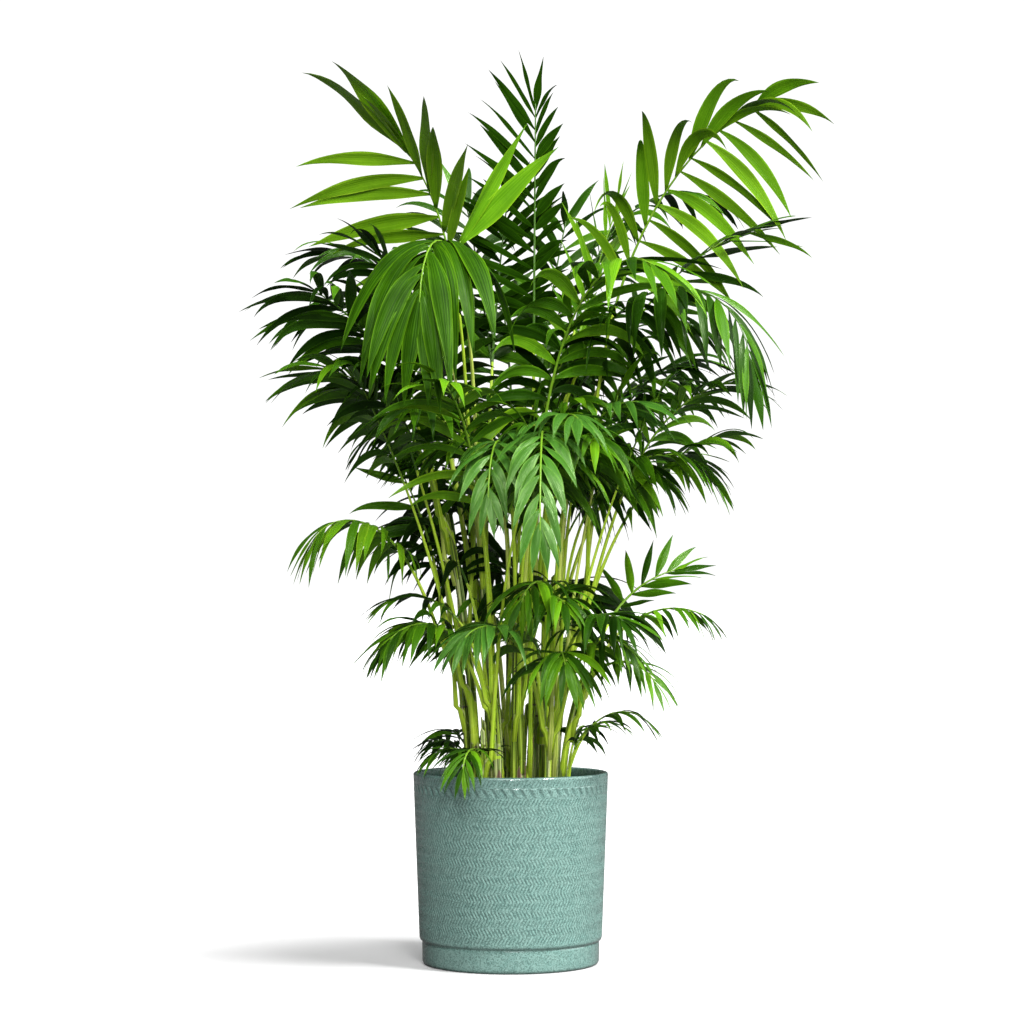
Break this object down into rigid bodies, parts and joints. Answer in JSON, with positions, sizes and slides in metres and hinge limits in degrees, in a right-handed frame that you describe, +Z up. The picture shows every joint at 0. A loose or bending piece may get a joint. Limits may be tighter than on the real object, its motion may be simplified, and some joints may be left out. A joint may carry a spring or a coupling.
{
  "type": "parlour palm in a glazed pot",
  "caption": "Parlour palm: a clump of slender green canes with arching feather fronds, in a round glazed pot of soil with a herringbone relief.",
  "frame": {"origin": "centre of the pot's flat underside", "axes": "+Z up along the pot's axis, -Y towards the side the plant is usually seen from, +X to the right of that view"},
  "size_m": [0.7736, 0.8627, 1.2374],
  "materials": {
    "glaze": "gloss",
    "soil": "matte",
    "cane": "satin",
    "leaf": "satin",
    "leaf_bright": "satin",
    "leaf_dark": "satin"
  },
  "bodies": {
    "root": {"back_high": "leaf_dark", "back_left_high": "leaf_dark", "back_mid": "leaf_dark", "back_mid_left": "leaf_dark", "back_mid_right": "leaf_dark", "back_right_high": "leaf_dark", "cane_back": "cane", "cane_back_left": "cane", "cane_back_right": "cane", "cane_far": "cane", "cane_front_left": "cane", "cane_front_right": "cane", "cane_left": "cane", "cane_low_left": "cane", "cane_outer": "cane", "cane_pale": "cane", "cane_right": "cane", "cane_thick": "cane", "centre_mid_left": "leaf", "centre_right": "leaf", "centre_upper": "leaf", "front_hanging": "leaf_bright", "front_left_sheen": "leaf", "front_low": "leaf", "front_low_right": "leaf", "front_right_wide": "leaf", "front_sheen": "leaf", "front_top_light": "leaf", "left_arch_low": "leaf", "left_far_dark": "leaf_dark", "left_front": "leaf", "left_front_two": "leaf", "left_low_back": "leaf", "left_low_front": "leaf", "left_low_small": "leaf", "left_mid": "leaf", "left_middle": "leaf", "left_small": "leaf", "left_upper_dark": "leaf_dark", "pot": "glaze", "right_arch": "leaf", "right_arch_dark": "leaf_dark", "right_back_dark": "leaf_dark", "right_fan": "leaf", "right_hanging": "leaf", "right_low_arch": "leaf", "right_low_long": "leaf", "right_lower": "leaf", "right_mid_back": "leaf", "right_upper": "leaf", "seedling_back": "leaf", "seedling_left": "leaf", "seedling_right": "leaf", "sheath_left": "cane", "soil": "soil", "spear_right": "leaf", "top_back_dark": "leaf_dark", "top_left_bright": "leaf_bright", "top_right_bright": "leaf_bright", "young_back": "leaf"}
  },
  "joints": []
}
